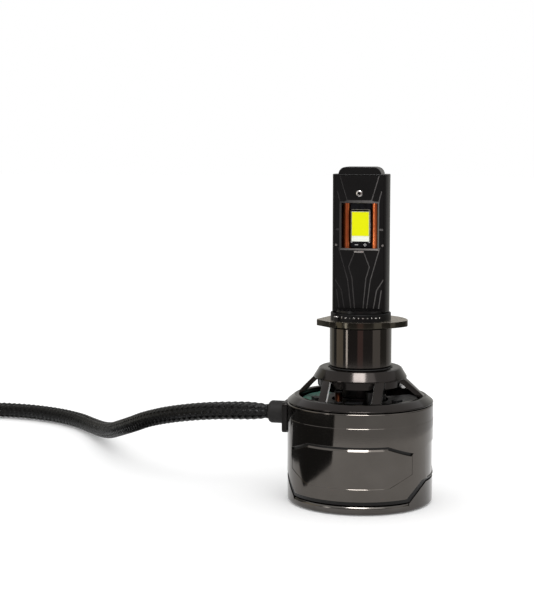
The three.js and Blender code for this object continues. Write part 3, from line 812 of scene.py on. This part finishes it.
def facePlateForm(d):
    face = -post["halfDepth"]
    half = post["plateHalf"] - post["seam"]
    low, high = post["windowLow"], post["windowHigh"]
    plateForm = boxForm(-half, half, face, face + post["plateDepth"] - 0.03, d["foot"], d["top"])
    window = boxForm(-post["windowHalf"], post["windowHalf"], face - 1, face + 2, low, high)
    rim = d["frame"]
    # the window's rim slopes in from the face: a box whose front is wider than its back
    slope = boxForm(-post["windowHalf"], post["windowHalf"], face - d["frameDepth"],
                    face + d["frameDepth"], low, high)
    for vert in slope.verts:
        if vert.co.y < face:
            vert.co.x += math.copysign(rim * 2, vert.co.x)
            vert.co.z += math.copysign(rim * 2, vert.co.z - (low + high) / 2)
    band = standingForm([(-3.1, high + d["bandHeight"]), (-4.6, high + 0.1), (4.6, high + 0.1),
                         (3.1, high + d["bandHeight"])],
                        face - 1, face + 0.14)
    screwHoles = []
    for radius, back in ((0.95, face + 0.3), (0.62, face + 2)):
        outline = [(x, z + post["screwHeight"]) for x, z in arc(radius, 0, 345, 23)]
        screwHoles.append(standingForm(outline, face - 1, back))
    slots = [boxForm(*sorted((side * 4.95, side * 6.05)), face - 1, face + 0.22, *d["slotHeight"])
             for side in (-1, 1)]
    cuts = []
    for line in engravedLines:
        for side in (-1, 1):
            points = [(side * x, z) for x, z in line]
            for start, end in zip(points, points[1:]):
                cuts.append(groove(start, end, d["lineWidth"], d["lineDepth"], face))
    form = combined(plateForm, [window, slope, band, *screwHoles, *slots, *cuts])

    def cutFloor(middle, normal):  # everything sunk in the front, but not the plate's own edges, takes the pale painted highlight
        sunk = face + 0.01 < middle.y < face + 0.36
        onEdge = abs(middle.x) > half - 0.01 or middle.z > d["top"] - 0.01 or middle.z < d["foot"] + 0.01
        return sunk and not onEdge

    return painted(form, 1, cutFloor)


def studForms(d):
    face = -post["halfDepth"]
    profile = [(0, -0.14), (d["stud"] - 0.06, -0.14), (d["stud"], -0.06), (d["stud"], 0.1), (0, 0.1)]
    studs = [moveForm(turnForm(turnedForm(profile, 24), -90, "X"), x, face, d["studHeight"])
             for x in d["studsAt"]]
    tab = softened(boxForm(-1.15, 1.15, face - 0.12, face + 0.1, 63.05, 63.5), 0.07, 2)
    return gathered([*studs, tab])


def faceScrewForm():
    face = -post["halfDepth"]
    head = turnForm(turnedForm([(0, 0.38), (0.6, 0.34), (0.78, 0.22), (0.83, 0.05), (0.83, -0.2),
                                (0.5, -0.2), (0.5, -2.1), (0, -2.1)], 48), 90, "X")
    socket = turnForm(slabForm(arc(0.42, 0, 300, 5), 0.05, 1), 90, "X")
    screw = softened(combined(head, [socket]), 0.03, 1, 40)
    # the socket's inside takes the dark finish: painted shade
    painted(screw, 1, lambda middle, normal: math.hypot(middle.x, middle.z) < 0.4 and middle.y > -0.35)
    return moveForm(screw, 0, face, post["screwHeight"])


for sideName, sideTurn in sides:
    addPiece("facePlate_" + sideName, turnForm(facePlateForm(plate), sideTurn), [postMetal, paintedLineHighlight],
             "lamp", ["face_plate_" + sideName], 25)
    addPiece("plateStuds_" + sideName, turnForm(studForms(plate), sideTurn), [brightMetal], "lamp")
    addPiece("faceScrew_" + sideName, turnForm(faceScrewForm(), sideTurn), [brightMetal, seamShade],
             "lamp", ["face_screw_" + sideName])
print("lamp post ready")


# Lights: board with marks, white chip, yellow phosphor, wire bracket.
light = {"chipHalf": 2.25, "chipLow": 65.75, "chipHigh": 73.25, "yellowHeight": 6.1, "boardHalf": 2.55,
         "boardLow": 64.25, "boardHigh": 75.25, "wire": 0.17}


def boardForm(d):
    board = softened(boxForm(-d["boardHalf"], d["boardHalf"], -0.95, -0.5, d["boardLow"], d["boardHigh"]),
                     0.04, 1)
    marks = []
    for x, kind in ((-1.0, "minus"), (1.15, "plus")):
        marks.append(boxForm(x - 0.42, x + 0.42, -0.99, -0.93, 64.82, 65.0))
        if kind == "plus":
            marks.append(boxForm(x - 0.09, x + 0.09, -0.99, -0.93, 64.5, 65.3))
    pads = [boxForm(x - 0.16, x + 0.16, -1.02, -0.93, 65.45, 65.7) for x in (-2.25, 2.25)]
    return painted(gathered([board, *marks, *pads]), 1,
                   lambda middle, normal: middle.y < -0.955 and middle.z < 65.8)


def chipForms(d):
    chip = softened(boxForm(-d["chipHalf"], d["chipHalf"], -1.25, -0.95, d["chipLow"], d["chipHigh"]),
                    0.06, 2)
    low = d["chipHigh"] - d["yellowHeight"]
    yellow = softened(boxForm(-d["chipHalf"] + 0.09, d["chipHalf"] - 0.09, -1.4, -1.2, low,
                              d["chipHigh"] - 0.09), 0.07, 3)
    return chip, yellow


def bracketForm(d):
    wire = d["wire"]
    right = [(2.42, 65.6), (2.42 + wire, 65.6), (2.46 + wire, 66.6), (2.5 + wire, 70.2),
             (2.44 + wire, 71.2), (2.4 + wire, 73.5), (2.25 + wire, 73.75), (2.0, 73.85), (-2.35, 73.85),
             (-2.35, 73.85 - wire), (1.95, 73.85 - wire), (2.2, 73.5), (2.26, 71.2), (2.32, 70.2),
             (2.3, 66.6)]
    left = [(-2.5, 65.5), (-2.38, 65.5), (-2.36, 73.6), (-2.48, 73.6)]
    return gathered([softened(standingForm(shape, -1.3, -0.94), 0.035, 1, 50) for shape in (right, left)])


for sideName, sideTurn in sides:
    chipForm, yellowForm = chipForms(light)
    addPiece("lightBoard_" + sideName, turnForm(boardForm(light), sideTurn), [blackMask, whiteInk], "lamp",
             ["led_board_" + sideName])
    addPiece("lightChip_" + sideName, turnForm(chipForm, sideTurn), [chipWhite], "lamp",
             ["led_chip_" + sideName])
    addPiece("phosphorLayer_" + sideName, turnForm(yellowForm, sideTurn), [phosphorYellow], "lamp",
             ["phosphor_" + sideName])
    addPiece("chipBracket_" + sideName, turnForm(bracketForm(light), sideTurn), [brightMetal], "lamp",
             ["chip_bracket_" + sideName])


def heatPipeForm(d, x, low, high):
    straight = d["halfDepth"] - d["halfWidth"]
    top = [(px, py + straight) for px, py in arc(d["halfWidth"], 0, 180, 24)]
    foot = [(px, py - straight) for px, py in arc(d["halfWidth"], 180, 360, 24)]
    return moveForm(softened(slabForm(top + foot, low, high), 0.3, 3, 50), x, 0, 0)


pipeLow, pipeHigh = cadSize("heat_pipe_left")
for sideName, sign in (("left", -1), ("right", 1)):
    addPiece("heatPipe_" + sideName, heatPipeForm(pipe, sign * pipe["at"], pipeLow.z, pipeHigh.z),
             [copperMetal], "lamp", ["heat_pipe_" + sideName])
print("lights ready")


# Cable gland and its plate, sized beside the shell.
def glandForms(d):
    low, high = cadSize("cable_gland")
    length = high.x - low.x
    nose = [(d["radius"] - d["corner"] + x, length - d["corner"] + z)
            for x, z in arc(d["corner"], 0, 90, 8)]
    body = turnedForm([(0, 0), (d["radius"], 0), *nose, (d["mouth"], length),
                       (d["mouth"] - 0.1, length - 0.25), (0, length - 0.25)], 64)
    body = moveForm(turnForm(body, -90, "Y"), high.x, 0, d["height"])
    plateLow, plateHigh = cadSize("gland_plate")
    block = boxForm(plateLow.x, plateHigh.x, plateLow.y, plateHigh.y, plateLow.z, plateHigh.z)
    corners = [edge for edge in block.edges if abs(edge.verts[0].co.x - edge.verts[1].co.x) > 1]
    bmesh.ops.bevel(block, geom=corners, offset=0.9, segments=4, profile=0.5, affect="EDGES", material=-1)
    shellRound = turnedForm([(0, 10), (18.6, 10), (18.6, 30), (0, 30)], 192)
    hole = moveForm(turnForm(slabForm(arc(1.6, 0, 345, 23), 15, 19.8), -90, "Y"), 0, 0, d["height"])
    return body, softened(combined(block, [shellRound, hole]), 0.12, 2, 40)


glandBody, glandBlock = glandForms(gland)
addPiece("cableGland", glandBody, [glandRubber], "lamp", ["cable_gland"])
addPiece("glandPlate", glandBlock, [plateMetal], "lamp", ["gland_plate"])


# Fan: frame, and rotor with swept blades.
rotor = {"hub": 8.0, "face": 3.8, "top": 10.0, "root": 7.7, "tip": 14.4, "blades": 7, "sweep": 24.0,
         "rootChord": 34.0, "tipChord": 30.0, "bladeLow": 4.3, "bladeHigh": 9.7, "thickness": 0.6}


def bladeForm(d, turn):
    blade = bmesh.new()
    bmesh.ops.create_grid(blade, x_segments=12, y_segments=10, size=0.5)
    for vert in blade.verts:
        along, across = vert.co.x + 0.5, vert.co.y + 0.5
        radius = d["root"] + (d["tip"] - d["root"]) * along
        chord = d["rootChord"] + (d["tipChord"] - d["rootChord"]) * along
        angle = math.radians(turn + d["sweep"] * along ** 1.6 + chord * (across - 0.5))
        rise = across + 0.18 * math.sin(math.pi * across)
        pitch = 1.0 - 0.22 * along
        height = d["bladeLow"] + (d["bladeHigh"] - d["bladeLow"]) * (0.5 + (rise - 0.5) * pitch)
        vert.co = (radius * math.cos(angle), radius * math.sin(angle), height)
    bmesh.ops.recalc_face_normals(blade, faces=blade.faces)
    bmesh.ops.solidify(blade, geom=blade.faces[:], thickness=d["thickness"])
    return cleaned(blade)


def rotorForm(d):
    hub, face = d["hub"], d["face"]
    cup = turnedForm([(0, face), (hub - 0.9, face), (hub - 0.5, face + 0.08), (hub - 0.15, face + 0.35),
                      (hub, face + 0.8), (hub, d["top"]), (7.2, d["top"]), (7.2, face + 1),
                      (0, face + 1)])
    return gathered([cup, *(bladeForm(d, 360 * i / d["blades"]) for i in range(d["blades"]))])


addPiece("fanRotor", rotorForm(rotor), [bladePlastic], "fan_rotor", ["fan_rotor"], 40)


def fanFrameForm():
    low, high = cadSize("fan_frame")
    outer = high.x
    duct = turnedForm([(15.0, low.z + 0.5), (15.45, low.z), (outer, low.z), (outer, high.z),
                       (15.0, high.z)], 160)
    motorPlate = turnedForm([(0, 10.7), (6.3, 10.7), (6.3, high.z), (0, high.z)], 64)
    bearingTube = turnedForm([(1.8, 5.6), (2.4, 5.6), (2.4, 10.9), (1.8, 10.9)], 48)
    struts = [turnForm(softened(boxForm(5.5, 15.4, -0.8, 0.8, 10.7, high.z), 0.2, 2), turn)
              for turn in (30, 150, 270)]
    return gathered([duct, motorPlate, bearingTube, *struts])


addPiece("fanFrame", fanFrameForm(), [blackPlastic], "lamp", ["fan_frame"])


# Heat sink: core, cross web and thin parallel fins trimmed to a circle.
sink = {"radius": 16.0, "reach": 15.2, "top": 24.0, "pitch": 1.4, "thickness": 0.45, "core": 6.5,
        "web": 0.8, "notch": 11.6, "wireRoom": 2.2}


def heatSinkForm(d):
    low, high = cadSize("heat_sink")
    finTop = d["top"]
    parts = [turnedForm([(0, low.z), (d["core"], low.z), (d["core"], high.z), (0, high.z)], 96),
             boxForm(-d["notch"], d["reach"], -d["web"], d["web"], low.z, finTop)]
    count = int(d["reach"] / d["pitch"])
    for index in range(-count, count + 1):
        x = index * d["pitch"]
        half = math.sqrt(d["radius"] ** 2 - (abs(x) + d["thickness"]) ** 2)
        left, right = x - d["thickness"] / 2, x + d["thickness"] / 2
        if x < -d["notch"]:  # room for the wires on the lead's side
            parts.append(boxForm(left, right, -half, -d["wireRoom"], low.z, finTop))
            parts.append(boxForm(left, right, d["wireRoom"], half, low.z, finTop))
        else:
            parts.append(boxForm(left, right, -half, half, low.z, finTop))
    return gathered(parts)


addPiece("heatSink", heatSinkForm(sink), [finMetal], "lamp", ["heat_sink"])
print("fan and heat sink ready")


# Driver parts, seen through the vent windows.
driver = {"inductorTurns": 9, "capacitorRadius": 1.5}


def inductorForm():
    low, high = cadSize("driver_inductor")
    middle = (low + high) / 2
    radius = (high.x - low.x) / 2
    coreProfile = [(0, low.z), (radius, low.z), (radius, low.z + 0.35), (radius - 0.45, low.z + 0.45),
                   (radius - 0.45, high.z - 0.45), (radius, high.z - 0.35), (radius, high.z), (0, high.z)]
    core = turnedForm(coreProfile, 40)
    turns = []
    count = driver["inductorTurns"]
    pitch = (high.z - low.z - 0.95) / count
    for index in range(count):
        height = low.z + 0.48 + pitch * (index + 0.5)
        turns.append(turnedForm([(radius - 0.32 + x, height + z) for x, z in arc(pitch * 0.5, 0, 324, 9)],
                                32))
    coil = painted(gathered(turns), 1, everywhere)
    return moveForm(gathered([core, coil]), middle.x, middle.y, 0)


def capacitorForm():
    low, high = cadSize("driver_capacitor")
    middle, radius = (low + high) / 2, driver["capacitorRadius"]
    can = turnedForm([(0, low.z), (radius - 0.05, low.z), (radius, low.z + 0.1), (radius, low.z + 0.3),
                      (radius - 0.12, low.z + 0.42), (radius, low.z + 0.56), (radius, high.z - 0.2),
                      (radius - 0.18, high.z), (0, high.z)], 48)
    return moveForm(can, middle.x, middle.y, 0)


def packageForm(turn, radius, halfWidth, halfDepth, height, legs):  # a moulded package with folded legs
    parts = [softened(boxForm(-halfWidth, halfWidth, -halfDepth, halfDepth, 25.95, height), 0.08, 2)]
    for index in range(legs):
        x = (index - (legs - 1) / 2) * (2 * halfWidth - 0.5) / max(1, legs - 1)
        for side in (-1, 1):
            near, far = sorted((side * (halfDepth - 0.1), side * (halfDepth + 0.35)))
            leg = boxForm(x - 0.11, x + 0.11, near, far, 25.86, 26.0)
            parts.append(painted(leg, 1, everywhere))
    return turnForm(moveForm(gathered(parts), 0, -radius, 0), turn)


addPiece("driverInductor", inductorForm(), [ferriteMetal, windingCopper], "lamp",
         ["driver_inductor"])
addPiece("driverCapacitor", capacitorForm(), [finMetal], "lamp", ["driver_capacitor"])
for part, turn, radius, halfWidth, halfDepth, legs in (
        ("chip", 4, 12.3, 2.1, 1.3, 4), ("transistor", -58, 11.6, 1.5, 1.0, 3),
        ("diode", 62, 11.8, 1.2, 0.8, 2)):
    addPiece("driver" + part.capitalize(), packageForm(turn, radius, halfWidth, halfDepth, 26.8, legs),
             [blackPlastic, brightMetal], "lamp", ["driver_" + part])


# Motor, boards, wires and plug keep their CAD shapes, with rounded edges and finishes.
keptFinishes = {
    "driver_board": driverMask, "fan_board": greenMask, "fan_bearing": brassMetal,
    "fan_stator": ferriteMetal, "rotor_magnet": ferriteMetal, "rotor_shaft": brightMetal,
    "power_wire_positive": redWire, "power_wire_negative": blackWire, "plug_boot": glandRubber,
    "plug_housing": blackPlastic, "plug_blade_1": brassMetal, "plug_blade_2": brassMetal,
    **{f"stator_coil_{count}": windingCopper for count in (1, 2, 3, 4)}}
for node, finish in keptFinishes.items():
    kept = frame["nodes"][node]
    kept.data.materials.clear()
    kept.data.materials.append(finish)
    weld = kept.modifiers.new("weld", "WELD")
    weld.merge_threshold = 0.000005
    edge = kept.modifiers.new("edge", "BEVEL")
    edge.width = 0.00012
    edge.segments = 2
    edge.limit_method = "ANGLE"
    edge.angle_limit = math.radians(40)
print("driver and kept nodes ready")


# Studio: white floor and surround, one soft light, and panels that only reflections see.
studio = {"floor": 6.0, "world": 1.0, "softPower": 2.0, "ringRadius": 220.0, "ringTop": 150.0,
          "boxTurn": 7.0, "boxRise": 57.5, "boxReach": 400.0, "boxSize": (170.0, 100.0), "boxGlow": 26.0,
          "farFloor": (105.0, 0.8), "faceTurn": 12.0, "shadeGlow": 0.06, "lightSize": 0.6,
          "lightPlace": (0.45, -0.6, 0.85)}
ringStrips = [  # angles from and to, 0 in front of the bulb and 90 on its right, and each strip's glow
    (-156, -123, (0.6, 0.59, 0.56)), (-123, -104, (0.6, 0.58, 0.5)), (-104, -88, (0.16, 0.16, 0.16)),
    (-88, -56, (1.1, 1.0, 0.8)), (-56, -44, (0.2, 0.2, 0.2)), (-44, -37, (6.0, 5.9, 5.7)),
    (-37, 0, (0.17, 0.16, 0.16)), (0, 20, (0.6, 0.4, 0.38)), (20, 56, (0.2, 0.19, 0.19)),
    (56, 88, (0.9, 0.87, 0.83)), (88, 122, (0.22, 0.22, 0.2)), (122, 176, (0.58, 0.57, 0.54)),
    (176, 204, (0.36, 0.35, 0.33))]
floorShades = [  # dark shapes beside the bulb, as angle and distance from its middle
    [(-66, 38), (-58, 46), (-44, 58), (-28, 75), (-26, 200), (-87, 200), (-87, 64), (-76, 48)],
    [(-86, 64), (-86, 200), (-114, 200), (-112, 64)]]


def studioRound(turn, reach, height):  # a place round the bulb, turned as the strips are
    angle = math.radians(turn)
    return (reach * math.sin(angle), -reach * math.cos(angle), height)


def stagePanel(name, faces, finish):  # flat panels of the studio, each through its corners
    form = bmesh.new()
    for corners in faces:
        form.faces.new([form.verts.new(corner) for corner in corners])
    bmesh.ops.scale(form, vec=(millimetre, millimetre, millimetre), verts=form.verts)
    mesh = bpy.data.meshes.new(name)
    form.to_mesh(mesh)
    form.free()
    mesh.materials.append(finish)
    panel = bpy.data.objects.new(name, mesh)
    scene.collection.objects.link(panel)
    return panel


def reflectionPanel(name, faces, glow):  # glows evenly, and is seen only by glossy surfaces
    finish = Finish(name, Base_Color=(0, 0, 0, 1), Roughness=1.0, Specular_IOR_Level=0.0,
                    Emission_Color=(*glow, 1), Emission_Strength=1.0)
    panel = stagePanel(name, faces, finish.material)
    panel.visible_camera = False
    panel.visible_diffuse = False
    panel.visible_shadow = False
    panel.visible_transmission = False
    panel.visible_volume_scatter = False


def reflectionRing(d):  # strips that stand round the bulb, and the floor in front of them
    reach, top = d["ringRadius"], d["ringTop"]
    near, floorGlow = d["farFloor"]
    floorFaces = []
    for index, (start, end, glow) in enumerate(ringStrips):
        count = max(1, round((end - start) / d["faceTurn"]))
        turns = [start + (end - start) * step / count for step in range(count + 1)]
        stripFaces = []
        for a, b in zip(turns, turns[1:]):
            stripFaces.append([studioRound(a, reach, 0.3), studioRound(b, reach, 0.3),
                               studioRound(b, reach, top), studioRound(a, reach, top)])
            floorFaces.append([studioRound(a, near, 0.1), studioRound(b, near, 0.1),
                               studioRound(b, reach, 0.1), studioRound(a, reach, 0.1)])
        reflectionPanel(f"ringStrip_{index}", stripFaces, glow)
    reflectionPanel("farFloor", floorFaces, [floorGlow] * 3)
    shadeFaces = [[studioRound(turn, distance, 0.2) for turn, distance in shade] for shade in floorShades]
    reflectionPanel("floorShade", shadeFaces, [d["shadeGlow"]] * 3)


def softboxPanel(d):
    middle = Vector(studioRound(d["boxTurn"], d["boxReach"] * math.cos(math.radians(d["boxRise"])),
                                d["boxReach"] * math.sin(math.radians(d["boxRise"])) + 30))
    ahead = (Vector((0, 0, 30)) - middle).normalized()
    side = ahead.cross(Vector((0, 0, 1))).normalized() * d["boxSize"][0] / 2
    up = side.cross(ahead).normalized() * d["boxSize"][1] / 2
    corners = [middle - side - up, middle + side - up, middle + side + up, middle - side + up]
    reflectionPanel("softbox", [corners], [d["boxGlow"]] * 3)


def softLight(d):
    data = bpy.data.lights.new("softLight", "AREA")
    data.shape = "SQUARE"
    data.size = d["lightSize"]
    data.energy = d["softPower"]
    light = bpy.data.objects.new("softLight", data)
    light.location = d["lightPlace"]
    light.rotation_euler = (-light.location).to_track_quat("-Z", "Y").to_euler()
    scene.collection.objects.link(light)


world = bpy.data.worlds.new("whiteSurround")
world.use_nodes = True
world.node_tree.nodes["Background"].inputs["Color"].default_value = (1, 1, 1, 1)
world.node_tree.nodes["Background"].inputs["Strength"].default_value = studio["world"]
scene.world = world
scene.view_settings.view_transform = "Standard"

floorFinish = Finish("paleFloor", Base_Color=(0.95, 0.95, 0.95, 1), Roughness=0.9, Specular_IOR_Level=0.0,
                     Emission_Color=(1, 1, 1, 1), Emission_Strength=0.12).material
floorHalf = studio["floor"] / 2 / millimetre
stagePanel("studioFloor", [[(-floorHalf, -floorHalf, -0.2), (floorHalf, -floorHalf, -0.2),
                            (floorHalf, floorHalf, -0.2), (-floorHalf, floorHalf, -0.2)]], floorFinish)
reflectionRing(studio)
softboxPanel(studio)
softLight(studio)
print("studio ready")
